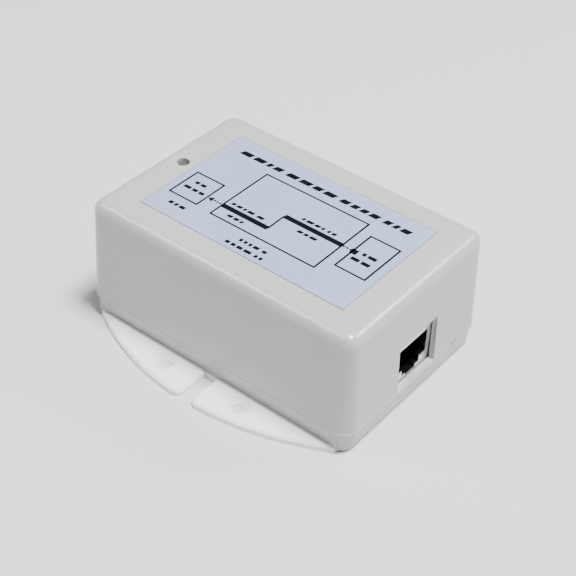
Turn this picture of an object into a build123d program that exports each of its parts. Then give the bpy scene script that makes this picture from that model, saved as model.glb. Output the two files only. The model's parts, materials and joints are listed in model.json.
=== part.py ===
from build123d import *
import os
from math import atan2, cos, degrees, radians, sin

# Power over Ethernet injector: a DC/DC converter board with an RJ45 socket at each end,
# in a flanged two-piece plastic case that screws down to a wall or a panel.
# Millimetres. X runs from the output socket to the input socket, Y across the flanges, Z up.
# The origin is the middle of the underside.

# ---- Case ------------------------------------------------------------------------------
case_length = 79.3          # over the cover, at the joint with the base
case_width = 54.0
case_height = 33.6          # underside to the cover's top face
corner_radius = 4.2         # the cover's upright corners, at the joint
top_edge_radius = 3.0
cover_draft = 2.2           # degrees, outside faces lean in towards the top
core_draft = 1.0            # degrees, inside faces
cover_wall = 1.5
roof_thickness = 1.8
joint_z = 6.1               # height of the joint between base and cover
rim_proud = 0.15            # narrow bead round the cover's bottom edge
rim_height = 0.45

# ---- Base ------------------------------------------------------------------------------
base_inset = 0.12           # the base stands back from the cover's outside, at the joint
base_draft = 8.0            # degrees, outside faces lean in towards the foot
base_corner_radius = 4.1
base_wall = 2.48            # at the joint
floor_thickness = 2.0
base_edge_radius = 0.8
spigot_height = 2.0         # lip that locates the cover
spigot_clearance = 0.12
spigot_inner_radius = 1.6
spigot_gap_width = 17.2     # gap in the lip at each end, for the socket

# ---- Mounting flanges, one on each long side ---------------------------------------------
flange_thickness = 1.7
flange_edge = 0.5           # height of the bevel round the flange's upper edge
flange_edge_lean = 45
flange_overlap = 1.0        # how far the flange runs into its rib
flange_half_chord = 36.5
flange_root_y = 26.45       # face of the rib that the flange grows from
flange_reach = 10.15
flange_rib_height = 4.4
flange_rib_overrun = 0.3    # the rib runs this far past each end of the flange
slot_width = 3.4            # strap slot in the middle of each flange
slot_root_gap = 0.3
slot_corner_radius = 1.8
mount_hole_radius = 1.7
mount_sink_radius = 2.9
mount_sink_angle = 90
mount_spacing_x = 23.2
mount_spacing_y = 60.5

# ---- Fasteners --------------------------------------------------------------------------
cover_screw_x = 33.4
cover_screw_y = 20.8
cover_screw_radius = 1.5
cover_screw_length = 15.0
cover_head_radius = 2.75
cover_head_height = 1.9
cover_head_edge = 0.8
cover_screw_point = 0.7
cover_cross = (2.6, 0.6, 1.1)    # cross recess: length, width, depth
counterbore_radius = 3.1
counterbore_depth = 2.6
post_radius = 3.9
post_top_z = 6.2
boss_radius = 3.3
boss_gap = 0.1              # between base post and cover boss
pilot_radius = 1.6
post_hole_radius = 1.7
pilot_depth = 13.5
board_screw_x = 15.8
board_screw_y = 21.8
board_screw_radius = 1.1
board_screw_length = 5.0
board_head_radius = 2.1
board_head_height = 1.4
board_head_edge = 0.6
board_cross = (2.2, 0.5, 0.8)
board_screw_clearance = 0.15     # in the board
standoff_radius = 2.6
standoff_hole_radius = 1.13
standoff_hole_depth = 3.6

# ---- Circuit board -----------------------------------------------------------------------
board_length = 73.8
board_width = 48.4
board_thickness = 1.6
board_top = 6.2
board_notch_x = 7.8         # corner notches that let the cover posts through
board_notch_y = 7.7

# ---- RJ45 sockets ------------------------------------------------------------------------
socket_face_x = 37.8        # front of the metal shield
socket_width = 16.0
socket_height = 13.4
socket_depth = 17.3
shield_sheet = 0.25
shield_mouth_gap = 0.05     # the shield's opening is larger than the housing's by this
mouth_width = 11.8          # opening for the plug's body
mouth_bottom = 3.3          # above the board
mouth_height = 6.9
latch_wide = 6.9            # stepped notch for the plug's latch
latch_wide_drop = 1.6
latch_narrow = 3.9
latch_narrow_drop = 2.4
mouth_depth = 11.0
chamber_width = 8.8         # room above the mouth for the contact wires
chamber_height = 1.9
chamber_start = 1.6
rear_well_start = 12.0
housing_back_wall = 0.8
contact_count = 8
contact_pitch = 1.02
contact_radius = 0.22
contact_pivot_depth = 2.8   # where each spring wire bends back into the mouth
contact_pivot_rise = 1.0    # above the mouth's top
contact_tip_depth = 9.8
contact_tip_drop = 2.4      # below the mouth's top
contact_hook = (0.6, 0.75)  # the wire's end turns up by this
contact_bend_radius = 0.4
pin_rise = 1.5              # fixed halves run this far above the mouth
pin_overlap = 0.2           # and start this far in front of the spring wires' bends
pin_bend_radius = 0.8
pin_rows = (13.2, 15.4)     # depth of the two staggered rows of solder tails
tail_length = 3.2           # below the board's top
tail_hole_radius = 0.45
peg_radius = 1.5
peg_clearance = 0.1
peg_depth = 8.6
peg_half_span = 5.7
leg_depth = 5.0
leg_width = 1.4
leg_clearance = 0.4

window_width = 15.0         # opening in the cover's end wall
window_sill = 6.6
window_top = 19.8
pry_notch_y = 15.7          # shallow notch in the bottom edge of each end wall
pry_notch_length = 2.8
pry_notch_height = 0.5
pry_notch_depth = 0.5

# ---- Label and indicator -----------------------------------------------------------------
label_length = 59.6
label_width = 36.6
label_thickness = 0.15
label_corner_radius = 0.5
label_x = 0.65
label_y = -0.27
led_x = -32.6
led_y = 0.3
led_radius = 1.5
led_hole_radius = 1.62
led_recess = 0.35
led_height = 5.3
led_flange_radius = 1.9
led_flange_height = 1.0
led_lead_pitch = 2.54
led_lead_radius = 0.25
led_foot_x = -19.2
led_run_z = 24.0
led_dome_flat = 0.1         # flat left in the middle of the lens's dome
led_bend_radius = 1.2
led_tail_length = 2.7       # below the board's top
sleeve_radius = 0.5
sleeve_foot = 1.0           # above the board
sleeve_length = 14.8

# ---- Transformer -------------------------------------------------------------------------
transformer_x = 0.0
transformer_y = 3.0
core_half_length = 11.0
core_depth = 7.0
core_leg = 2.5
core_window = 3.5
core_mid_z = 17.2
core_back = 3.2             # thickness of the core's two end walls
core_glue_gap = 0.05
core_edge_radius = 0.5
bobbin_half_length = 7.6
bobbin_half_width = 7.8
bobbin_skin = 0.7
bobbin_cheek = 0.8
bobbin_rail_y = 5.8         # two feet that carry the pins, either side of the middle
bobbin_rail_width = 3.6
bobbin_rail_height = 2.6
winding_gap = 0.1           # each end, inside the cheeks
winding_corner_radius = 2.0
winding_half_width = 7.0
winding_height_gap = 0.6

# ---- Capacitors, choke and inductor ------------------------------------------------------
input_capacitor_places = [(9.5, -18.2)]
input_capacitor_size = (5.0, 18.0)       # radius, height
output_capacitor_places = [(-24.6, -12.6), (-24.6, -20.4)]
output_capacitor_size = (3.5, 14.0)
can_edge_radius = 0.5
crimp_height = 1.2
crimp_width = 0.7
crimp_depth = 0.35
vent_width = 0.25
vent_reach = 1.5            # length of the scored cross, in radii
choke_place = (23.2, -15.6)
choke_outer_radius = 6.5
choke_inner_radius = 3.4
choke_height = 4.6
choke_lift = 1.2
choke_edge_radius = 0.4
choke_turns = 7             # in each half
choke_turn_step = 18        # degrees
choke_wire = 0.45           # half the width of a turn
choke_turn_gap = 0.1
inductor_place = (-8.6, -17.4)
inductor_radius = 5.8
inductor_height = 11.0
inductor_cheek = 2.0
inductor_waist = 2.9
inductor_edge_radius = 0.4
inductor_winding_radius = 5.3

# ---- Heat sink and switching transistor --------------------------------------------------
heat_sink_x = -1.0
heat_sink_front_y = 18.0
heat_sink_length = 24.0
heat_sink_plate = 1.8
heat_sink_height = 18.8
fin_count = 8
fin_length = 3.4
fin_overlap = 0.1           # a fin runs into the plate by this
fin_thickness = 0.9
fin_pitch = 3.3
fin_cut_width = 5.4         # short fins behind the transistor's screw
fin_cut_z = 19.2
transistor_width = 10.2
transistor_body = (9.2, 4.4)             # height, thickness
transistor_tab = (15.4, 1.3)
transistor_foot = 3.0       # above the board
transistor_tab_foot = 3.5
transistor_lead = (0.9, 3.0, 0.6)        # width, length, thickness
transistor_lead_pitch = 2.54
transistor_lead_gap = 2.0   # between the leads and the heat sink
transistor_screw_z = 21.4
transistor_screw_radius = 1.45
transistor_head = (2.7, 1.7, 0.7)        # radius, height, edge radius
transistor_tab_hole_radius = 1.8
sink_hole_radius = 1.55
screw_nose = 2.0            # past the heat sink's plate

# ---- Parts moulded in black --------------------------------------------------------------
magnetics_size = (6.0, 12.6, 5.6)
magnetics_x = 24.6
magnetics_y = 16.0
bridge_size = (6.2, 6.4, 3.2)
bridge_places = [(15.4, 5.0), (15.4, 13.0)]
controller_size = (5.0, 4.0, 1.5)
optocoupler_size = (4.6, 4.6, 3.4)
package_bevel = 0.25
leg_reach = 1.2             # legs' centres stand out by half of this on each side
leg_length = 1.6
leg_share = 0.4             # leg width over leg pitch
leg_run_share = 0.8         # length of the row of legs over the package's side
leg_height = 0.3

# ---- Small parts -------------------------------------------------------------------------
disc_place = (-16.6, 15.0)
disc_radius = 3.8
disc_thickness = 3.0
disc_lift = 1.5
disc_edge_share = 0.4
disc_lead_reach = 2.5
disc_lead_radius = 0.3
disc_lead_height = 3.5
diode_wire_radius = 0.4
diode_edge_radius = 0.4
diode_bend_radius = 1.0
fuse_place = (12.4, -9.0)
fuse_radius = 2.6
fuse_height = 6.4
fuse_lift = 0.6
fuse_edge_radius = 0.6
fuse_lead_reach = 1.27
fuse_lead_radius = 0.35
chip_capacitor_size = (2.0, 1.25, 0.9)
chip_capacitor_places = [(-2.6, -6.6), (6.6, -8.0), (6.6, -10.6), (-16.4, -8.6)]
chip_resistor_size = (2.0, 1.25, 0.5)
chip_resistor_places = [(-2.6, -9.0), (-2.6, -11.4), (6.6, -5.9), (-12.8, -11.0)]

# Worked out from the dimensions above
roof_underside = case_height - roof_thickness
base_length = case_length - 2 * base_inset
base_width = case_width - 2 * base_inset
tray_length = base_length - 2 * base_wall
tray_width = base_width - 2 * base_wall
cavity_length = case_length - 2 * cover_wall
cavity_width = case_width - 2 * cover_wall
mouth_top = mouth_bottom + mouth_height
board_bottom = board_top - board_thickness

os.makedirs("parts", exist_ok=True)


def write(builder, name):
    builder.part.label = name
    export_step(builder.part, f"parts/{name}.step")


def atan_degrees(across, along):
    return degrees(atan2(across, along))


def socket_plane(end, depth=0.0):
    """Plane across a socket: local x across, local y up from the board, normal outwards."""
    origin = (end * (socket_face_x - depth), 0, board_top)
    return Plane(origin=origin, x_dir=(0, end, 0), z_dir=(end, 0, 0))


# ---- Case pieces -------------------------------------------------------------------------
def make_base_plate():
    rib_depth = flange_root_y - tray_width / 2
    rib_length = 2 * (flange_half_chord + flange_rib_overrun)
    with BuildPart() as base:
        # Tray, drawn at the joint and narrowing downwards
        with BuildSketch(Plane(origin=(0, 0, joint_z), z_dir=(0, 0, -1))):
            RectangleRounded(base_length, base_width, base_corner_radius)
        extrude(amount=joint_z, taper=base_draft)
        fillet(base.edges().group_by(Axis.Z)[0], base_edge_radius)

        # Ribs that the flanges grow from
        with BuildSketch():
            with GridLocations(0, 2 * flange_root_y - rib_depth, 1, 2):
                Rectangle(rib_length, rib_depth)
        extrude(amount=flange_rib_height)

        # Crescent flanges on both long sides; the second step bevels their upper edges
        straight = flange_thickness - flange_edge
        for z, rise, lean in ((0, straight, 0), (straight, flange_edge, flange_edge_lean)):
            with BuildSketch(Plane.XY.offset(z)) as outline:
                with BuildLine():
                    tip = (0, -flange_root_y - flange_reach)
                    left = (-flange_half_chord, -flange_root_y)
                    right = (flange_half_chord, -flange_root_y)
                    ThreePointArc(left, tip, right)
                    inner = flange_half_chord - flange_overlap
                    inner_y = flange_overlap - flange_root_y
                    Polyline(right, (inner, inner_y), (-inner, inner_y), left)
                make_face()
                with Locations((0, -flange_root_y - slot_root_gap - flange_reach)):
                    Rectangle(slot_width, 2 * flange_reach, mode=Mode.SUBTRACT)
                fillet(outline.vertices().group_by(Axis.Y)[0], slot_corner_radius)
                mirror(about=Plane.XZ)
            extrude(amount=rise, taper=lean)

        # Hollow
        with BuildSketch(Plane.XY.offset(floor_thickness)):
            RectangleRounded(tray_length, tray_width, base_corner_radius - base_wall)
        extrude(amount=joint_z, mode=Mode.SUBTRACT)

        # Locating lip inside the cover, with gaps for the sockets
        with BuildSketch(Plane.XY.offset(joint_z)):
            lip_length = cavity_length - 2 * spigot_clearance
            lip_width = cavity_width - 2 * spigot_clearance
            lip_radius = corner_radius - cover_wall - spigot_clearance
            RectangleRounded(lip_length, lip_width, lip_radius)
            RectangleRounded(tray_length, tray_width, spigot_inner_radius,
                             mode=Mode.SUBTRACT)
            Rectangle(case_length, spigot_gap_width, mode=Mode.SUBTRACT)
        extrude(amount=spigot_height, taper=core_draft)

        # Board standoffs and cover-screw posts
        with BuildSketch(Plane.XY.offset(floor_thickness)):
            with GridLocations(2 * board_screw_x, 2 * board_screw_y, 2, 2):
                Circle(standoff_radius)
        extrude(amount=board_bottom - floor_thickness)
        with BuildSketch(Plane.XY.offset(floor_thickness)):
            with GridLocations(2 * cover_screw_x, 2 * cover_screw_y, 2, 2):
                Circle(post_radius)
        extrude(amount=post_top_z - floor_thickness)

        # Holes
        with BuildSketch():
            with GridLocations(2 * cover_screw_x, 2 * cover_screw_y, 2, 2):
                Circle(counterbore_radius)
        extrude(amount=counterbore_depth, mode=Mode.SUBTRACT)
        with BuildSketch():
            with GridLocations(2 * cover_screw_x, 2 * cover_screw_y, 2, 2):
                Circle(post_hole_radius)
        extrude(amount=post_top_z, mode=Mode.SUBTRACT)
        with BuildSketch(Plane.XY.offset(board_bottom)):
            with GridLocations(2 * board_screw_x, 2 * board_screw_y, 2, 2):
                Circle(standoff_hole_radius)
        extrude(amount=-standoff_hole_depth, mode=Mode.SUBTRACT)
        with Locations(Plane.XY.offset(flange_thickness)):
            with GridLocations(mount_spacing_x, mount_spacing_y, 2, 2):
                CounterSinkHole(mount_hole_radius, mount_sink_radius, 2 * flange_thickness,
                                mount_sink_angle)
    write(base, "base_plate")


def make_top_cover():
    with BuildPart() as cover:
        with BuildSketch(Plane.XY.offset(joint_z)):
            RectangleRounded(case_length, case_width, corner_radius)
        extrude(amount=case_height - joint_z, taper=cover_draft)
        fillet(cover.faces().sort_by(Axis.Z)[-1].edges(), top_edge_radius)

        # Bead round the bottom edge, bevelled on top
        with BuildSketch(Plane.XY.offset(joint_z)):
            bead_length = case_length + 2 * rim_proud
            bead_width = case_width + 2 * rim_proud
            RectangleRounded(bead_length, bead_width, corner_radius + rim_proud)
        extrude(amount=rim_height, taper=atan_degrees(rim_proud / 2, rim_height))

        # Hollow
        with BuildSketch(Plane.XY.offset(joint_z)):
            RectangleRounded(cavity_length, cavity_width, corner_radius - cover_wall)
        extrude(amount=roof_underside - joint_z, taper=core_draft, mode=Mode.SUBTRACT)

        # Screw bosses, drilled from below
        foot_z = post_top_z + boss_gap
        with BuildSketch(Plane.XY.offset(foot_z)):
            with GridLocations(2 * cover_screw_x, 2 * cover_screw_y, 2, 2):
                Circle(boss_radius)
        extrude(amount=roof_underside - foot_z)
        with BuildSketch(Plane.XY.offset(foot_z)):
            with GridLocations(2 * cover_screw_x, 2 * cover_screw_y, 2, 2):
                Circle(pilot_radius)
        extrude(amount=pilot_depth, mode=Mode.SUBTRACT)

        # Socket windows, pry notches and the hole for the indicator
        for end in (1, -1):
            with BuildSketch(Plane.YZ.offset(end * case_length / 2)):
                with Locations((0, (window_sill + window_top) / 2)):
                    Rectangle(window_width, window_top - window_sill)
            extrude(amount=2 * cover_wall, both=True, mode=Mode.SUBTRACT)
            with BuildSketch(Plane.YZ.offset(end * case_length / 2)):
                with Locations((end * pry_notch_y, joint_z)):
                    Rectangle(pry_notch_length, 2 * pry_notch_height)
            extrude(amount=pry_notch_depth, both=True, mode=Mode.SUBTRACT)
        with Locations((led_x, led_y, case_height)):
            Hole(led_hole_radius, roof_thickness + 1)
    write(cover, "top_cover")


def make_label():
    with BuildPart() as label:
        with BuildSketch(Plane.XY.offset(case_height)):
            with Locations((label_x, label_y)):
                RectangleRounded(label_length, label_width, label_corner_radius)
        extrude(amount=label_thickness)
    write(label, "label")


def make_cover_screws():
    """Pan-head screws, put in from below, with a cross recess."""
    head_top = counterbore_depth
    head_foot = head_top - cover_head_height
    cross_length, cross_width, cross_depth = cover_cross
    with BuildPart() as screws:
        with BuildSketch(Plane.XY.offset(head_foot)):
            with GridLocations(2 * cover_screw_x, 2 * cover_screw_y, 2, 2):
                Circle(cover_head_radius)
        extrude(amount=cover_head_height)
        fillet(screws.edges().group_by(Axis.Z)[0], cover_head_edge)
        with BuildSketch(Plane.XY.offset(head_top)):
            with GridLocations(2 * cover_screw_x, 2 * cover_screw_y, 2, 2):
                Circle(cover_screw_radius)
        extrude(amount=cover_screw_length)
        chamfer(screws.edges().group_by(Axis.Z)[-1], cover_screw_point)
        with BuildSketch(Plane.XY.offset(head_foot)):
            with GridLocations(2 * cover_screw_x, 2 * cover_screw_y, 2, 2):
                Rectangle(cross_length, cross_width)
                Rectangle(cross_width, cross_length)
        extrude(amount=cross_depth, mode=Mode.SUBTRACT)
    write(screws, "cover_screws")


def make_board_screws():
    cross_length, cross_width, cross_depth = board_cross
    with BuildPart() as screws:
        with BuildSketch(Plane.XY.offset(board_top)):
            with GridLocations(2 * board_screw_x, 2 * board_screw_y, 2, 2):
                Circle(board_head_radius)
        extrude(amount=board_head_height)
        fillet(screws.edges().group_by(Axis.Z)[-1], board_head_edge)
        with BuildSketch(Plane.XY.offset(board_top)):
            with GridLocations(2 * board_screw_x, 2 * board_screw_y, 2, 2):
                Circle(board_screw_radius)
        extrude(amount=-board_screw_length)
        with BuildSketch(Plane.XY.offset(board_top + board_head_height)):
            with GridLocations(2 * board_screw_x, 2 * board_screw_y, 2, 2):
                Rectangle(cross_length, cross_width)
                Rectangle(cross_width, cross_length)
        extrude(amount=-cross_depth, mode=Mode.SUBTRACT)
    write(screws, "board_screws")


# ---- Board --------------------------------------------------------------------------------
def contact_offsets():
    middle = (contact_count - 1) / 2
    return [(index - middle) * contact_pitch for index in range(contact_count)]


def tail_depth(index):
    return pin_rows[index % 2]


def make_circuit_board():
    with BuildPart() as board:
        with BuildSketch(Plane.XY.offset(board_bottom)):
            Rectangle(board_length, board_width)
            with GridLocations(board_length, board_width, 2, 2):
                Rectangle(2 * board_notch_x, 2 * board_notch_y, mode=Mode.SUBTRACT)
            with GridLocations(2 * board_screw_x, 2 * board_screw_y, 2, 2):
                Circle(board_screw_radius + board_screw_clearance, mode=Mode.SUBTRACT)
            for end in (1, -1):
                for index, offset in enumerate(contact_offsets()):
                    with Locations((end * (socket_face_x - tail_depth(index)), end * offset)):
                        Circle(tail_hole_radius, mode=Mode.SUBTRACT)
                for side in (1, -1):
                    with Locations((end * (socket_face_x - peg_depth), side * peg_half_span)):
                        Circle(peg_radius + peg_clearance, mode=Mode.SUBTRACT)
                    leg_y = side * (socket_width - shield_sheet) / 2
                    with Locations((end * (socket_face_x - leg_depth), leg_y)):
                        Rectangle(leg_width + leg_clearance, shield_sheet + leg_clearance,
                                  mode=Mode.SUBTRACT)
            for side in (1, -1):
                with Locations((led_foot_x, led_y + side * led_lead_pitch / 2)):
                    Circle(tail_hole_radius, mode=Mode.SUBTRACT)
        extrude(amount=board_thickness)
    write(board, "circuit_board")


# ---- Sockets ------------------------------------------------------------------------------
def mouth_sketch(grow):
    """Stepped outline of the plug's opening, on the sketch that is being built."""
    with Locations((0, mouth_bottom + mouth_height / 2)):
        Rectangle(mouth_width + 2 * grow, mouth_height + 2 * grow)
    steps = ((latch_wide, latch_wide_drop), (latch_narrow, latch_narrow_drop))
    for width, drop in steps:
        with Locations((0, mouth_bottom - drop / 2)):
            Rectangle(width + 2 * grow, drop + 2 * grow)


def make_socket_housing(end, name):
    body_width = socket_width - 2 * shield_sheet
    body_height = socket_height - shield_sheet
    body_depth = socket_depth - 2 * shield_sheet
    face = socket_plane(end, shield_sheet)
    with BuildPart() as housing:
        with BuildSketch(face):
            with Locations((0, body_height / 2)):
                Rectangle(body_width, body_height)
        extrude(amount=-body_depth)
        with BuildSketch(face):
            mouth_sketch(0)
        extrude(amount=-mouth_depth, mode=Mode.SUBTRACT)
        with BuildSketch(socket_plane(end, chamber_start)):
            with Locations((0, mouth_top + chamber_height / 2)):
                Rectangle(chamber_width, chamber_height)
        extrude(amount=chamber_start - body_depth + housing_back_wall, mode=Mode.SUBTRACT)
        with BuildSketch(socket_plane(end, rear_well_start)):
            with Locations((0, (mouth_top + chamber_height) / 2)):
                Rectangle(chamber_width, mouth_top + chamber_height)
        extrude(amount=rear_well_start - body_depth + housing_back_wall, mode=Mode.SUBTRACT)
        with BuildSketch(Plane.XY.offset(board_top)):
            for side in (1, -1):
                with Locations((end * (socket_face_x - peg_depth), side * peg_half_span)):
                    Circle(peg_radius)
        extrude(amount=-board_thickness)
    write(housing, name)


def make_socket_shield(end, name):
    with BuildPart() as shield:
        with BuildSketch(socket_plane(end)):
            with Locations((0, socket_height / 2)):
                Rectangle(socket_width, socket_height)
        extrude(amount=-socket_depth)
        with BuildSketch(socket_plane(end, shield_sheet)):
            with Locations((0, (socket_height - shield_sheet) / 2)):
                Rectangle(socket_width - 2 * shield_sheet, socket_height - shield_sheet)
        extrude(amount=2 * shield_sheet - socket_depth, mode=Mode.SUBTRACT)
        with BuildSketch(socket_plane(end)):
            mouth_sketch(shield_mouth_gap)
        extrude(amount=-shield_sheet, mode=Mode.SUBTRACT)
        with BuildSketch(Plane.XY.offset(board_top)):
            for side in (1, -1):
                leg_y = side * (socket_width - shield_sheet) / 2
                with Locations((end * (socket_face_x - leg_depth), leg_y)):
                    Rectangle(leg_width, shield_sheet)
        extrude(amount=-tail_length)
    write(shield, name)


def make_socket_pins(end, name):
    """Fixed halves of the contacts: along the chamber's roof, then down to the board."""
    with BuildPart() as pins:
        for index, offset in enumerate(contact_offsets()):
            lane = Plane(origin=(end * socket_face_x, end * offset, board_top),
                         x_dir=(-end, 0, 0), z_dir=(0, end, 0))
            with BuildLine(lane) as path:
                FilletPolyline(
                    (contact_pivot_depth - pin_overlap, mouth_top + pin_rise),
                    (tail_depth(index), mouth_top + pin_rise),
                    (tail_depth(index), -tail_length),
                    radius=pin_bend_radius,
                )
            with BuildSketch(Plane(origin=path.line @ 0, z_dir=path.line % 0)):
                Circle(contact_radius)
            sweep()
    write(pins, name)


def make_socket_contacts(end, name):
    """Spring wires that lean into the mouth and press on the plug's blades."""
    pivot = (contact_pivot_depth, mouth_top + contact_pivot_rise)
    tip = (contact_tip_depth, mouth_top - contact_tip_drop)
    with BuildPart() as contacts:
        for offset in contact_offsets():
            lane = Plane(origin=(end * socket_face_x, end * offset, board_top),
                         x_dir=(-end, 0, 0), z_dir=(0, end, 0))
            with BuildLine(lane) as path:
                FilletPolyline(
                    pivot,
                    tip,
                    (tip[0] + contact_hook[0], tip[1] + contact_hook[1]),
                    radius=contact_bend_radius,
                )
            with BuildSketch(Plane(origin=path.line @ 0, z_dir=path.line % 0)):
                Circle(contact_radius)
            sweep()
    write(contacts, name)


# ---- Indicator ----------------------------------------------------------------------------
def make_status_led():
    top = case_height - led_recess
    foot = top - led_height
    with BuildPart() as lens:
        with BuildSketch(Plane.XY.offset(foot)):
            with Locations((led_x, led_y)):
                Circle(led_radius)
        extrude(amount=led_height)
        fillet(lens.edges().group_by(Axis.Z)[-1], led_radius - led_dome_flat)
        with BuildSketch(Plane.XY.offset(foot)):
            with Locations((led_x, led_y)):
                Circle(led_flange_radius)
        extrude(amount=led_flange_height)
    write(lens, "status_led_lens")

    with BuildPart() as leads:
        for side in (1, -1):
            lane = Plane(origin=(0, led_y + side * led_lead_pitch / 2, 0),
                         x_dir=(1, 0, 0), z_dir=(0, -1, 0))
            with BuildLine(lane) as path:
                FilletPolyline(
                    (led_foot_x, board_top - led_tail_length),
                    (led_foot_x, led_run_z),
                    (led_x, led_run_z),
                    (led_x, foot),
                    radius=led_bend_radius,
                )
            with BuildSketch(Plane(origin=path.line @ 0, z_dir=path.line % 0)):
                Circle(led_lead_radius)
            sweep()
    write(leads, "status_led_leads")

    with BuildPart() as sleeves:
        with BuildSketch(Plane.XY.offset(board_top + sleeve_foot)):
            for side in (1, -1):
                with Locations((led_foot_x, led_y + side * led_lead_pitch / 2)):
                    Circle(sleeve_radius)
                    Circle(led_lead_radius, mode=Mode.SUBTRACT)
        extrude(amount=sleeve_length)
    write(sleeves, "status_led_sleeves")


# ---- Converter parts ----------------------------------------------------------------------

def make_transformer_core():
    """Two E-shaped ferrite halves, glued end to end round the bobbin's middle."""
    outer = 2 * (2 * core_leg + core_window)
    window = 2 * (core_leg + core_window)
    clear = core_half_length - core_back
    steps = (
        (core_half_length, outer, Mode.ADD),
        (clear, window, Mode.SUBTRACT),
        (clear, 2 * core_leg, Mode.ADD),
        (core_glue_gap, outer, Mode.SUBTRACT),
    )
    with BuildPart() as core:
        for half_length, height, mode in steps:
            with BuildSketch(Plane.YZ.offset(transformer_x)):
                with Locations((transformer_y, core_mid_z)):
                    Rectangle(core_depth, height)
            extrude(amount=half_length, both=True, mode=mode)
        upright = core.edges().filter_by(Axis.Z).group_by(Axis.X)
        fillet(upright[0] + upright[-1], core_edge_radius)
    write(core, "transformer_core")


def make_transformer_bobbin():
    window = 2 * (core_leg + core_window)
    tube_width = core_depth + 2 * bobbin_skin
    tube_height = 2 * (core_leg + bobbin_skin)
    cheek_x = bobbin_half_length - bobbin_cheek / 2
    cheek_height = window - 2 * winding_gap
    core_slot = (core_depth + winding_gap, 2 * core_leg + winding_gap)
    rail_rise = core_mid_z - window / 2 - board_top + bobbin_cheek
    with BuildPart() as bobbin:
        with BuildSketch(Plane.YZ.offset(transformer_x)):
            with Locations((transformer_y, core_mid_z)):
                Rectangle(tube_width, tube_height)
        extrude(amount=bobbin_half_length, both=True)
        for side in (1, -1):
            with BuildSketch(Plane.YZ.offset(transformer_x + side * cheek_x)):
                with Locations((transformer_y, core_mid_z)):
                    Rectangle(2 * bobbin_half_width, cheek_height)
                with Locations((transformer_y, board_top + rail_rise / 2)):
                    with GridLocations(2 * bobbin_rail_y, 0, 2, 1):
                        Rectangle(bobbin_rail_width, rail_rise)
            extrude(amount=bobbin_cheek / 2, both=True)
        with BuildSketch(Plane.XY.offset(board_top)):
            with Locations((transformer_x, transformer_y)):
                with GridLocations(0, 2 * bobbin_rail_y, 1, 2):
                    Rectangle(2 * bobbin_half_length, bobbin_rail_width)
        extrude(amount=bobbin_rail_height)
        with BuildSketch(Plane.YZ.offset(transformer_x)):
            with Locations((transformer_y, core_mid_z)):
                Rectangle(*core_slot)
        extrude(amount=core_half_length, both=True, mode=Mode.SUBTRACT)
    write(bobbin, "transformer_bobbin")


def make_transformer_winding():
    window = 2 * (core_leg + core_window)
    with BuildPart() as winding:
        with BuildSketch(Plane.YZ.offset(transformer_x)):
            with Locations((transformer_y, core_mid_z)):
                RectangleRounded(2 * winding_half_width, window - winding_height_gap,
                                 winding_corner_radius)
                Rectangle(
                    core_depth + 2 * bobbin_skin,
                    2 * (core_leg + bobbin_skin),
                    mode=Mode.SUBTRACT,
                )
        extrude(amount=bobbin_half_length - bobbin_cheek - winding_gap, both=True)
    write(winding, "transformer_winding")


def make_capacitors(name, places, size):
    """Radial electrolytics: a crimped can with a vented top, standing on the board."""
    radius, height = size
    with BuildPart() as cans:
        with BuildSketch(Plane.XY.offset(board_top)):
            with Locations(*places):
                Circle(radius)
        extrude(amount=height)
        fillet(cans.edges().group_by(Axis.Z)[-1], can_edge_radius)
        with BuildSketch(Plane.XY.offset(board_top + crimp_height)):
            with Locations(*places):
                Circle(radius)
                Circle(radius - crimp_depth, mode=Mode.SUBTRACT)
        extrude(amount=crimp_width, mode=Mode.SUBTRACT)
        with BuildSketch(Plane.XY.offset(board_top + height)):
            with Locations(*places):
                Rectangle(vent_reach * radius, vent_width)
                Rectangle(vent_width, vent_reach * radius)
        extrude(amount=-vent_width, mode=Mode.SUBTRACT)
    write(cans, name)


def make_choke():
    """Common-mode choke: a ring core lying flat, with two wound halves."""
    foot = board_top + choke_lift
    section = choke_outer_radius - choke_inner_radius
    with BuildPart() as core:
        with BuildSketch(Plane.XY.offset(foot)):
            with Locations(choke_place):
                Circle(choke_outer_radius)
                Circle(choke_inner_radius, mode=Mode.SUBTRACT)
        extrude(amount=choke_height)
        fillet(core.edges(), choke_edge_radius)
    write(core, "input_choke_core")

    middle = (choke_outer_radius + choke_inner_radius) / 2
    first = -choke_turn_step * (choke_turns - 1) / 2
    with BuildPart() as turns:
        for half in (0, 180):
            for step in range(choke_turns):
                angle = radians(half + first + step * choke_turn_step)
                centre = (choke_place[0] + middle * cos(angle),
                          choke_place[1] + middle * sin(angle),
                          foot + choke_height / 2)
                turn = Plane(origin=centre, x_dir=(cos(angle), sin(angle), 0),
                             z_dir=(-sin(angle), cos(angle), 0))
                with BuildSketch(turn):
                    RectangleRounded(section + 4 * choke_wire, choke_height + 4 * choke_wire, 1.0)
                    RectangleRounded(section + choke_turn_gap, choke_height + choke_turn_gap, 0.3,
                                     mode=Mode.SUBTRACT)
                extrude(amount=choke_wire, both=True)
    write(turns, "input_choke_windings")


def make_output_inductor():
    """Drum core with a winding round its waist."""
    with BuildPart() as core:
        for foot in (0, inductor_height - inductor_cheek):
            with BuildSketch(Plane.XY.offset(board_top + foot)):
                with Locations(inductor_place):
                    Circle(inductor_radius)
            extrude(amount=inductor_cheek)
        with BuildSketch(Plane.XY.offset(board_top)):
            with Locations(inductor_place):
                Circle(inductor_waist)
        extrude(amount=inductor_height)
        fillet(core.edges().group_by(Axis.Z)[-1], inductor_edge_radius)
    write(core, "output_inductor_core")

    with BuildPart() as winding:
        with BuildSketch(Plane.XY.offset(board_top + inductor_cheek + winding_gap)):
            with Locations(inductor_place):
                Circle(inductor_winding_radius)
                Circle(inductor_waist + winding_gap / 2, mode=Mode.SUBTRACT)
        extrude(amount=inductor_height - 2 * (inductor_cheek + winding_gap))
    write(winding, "output_inductor_winding")


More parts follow.
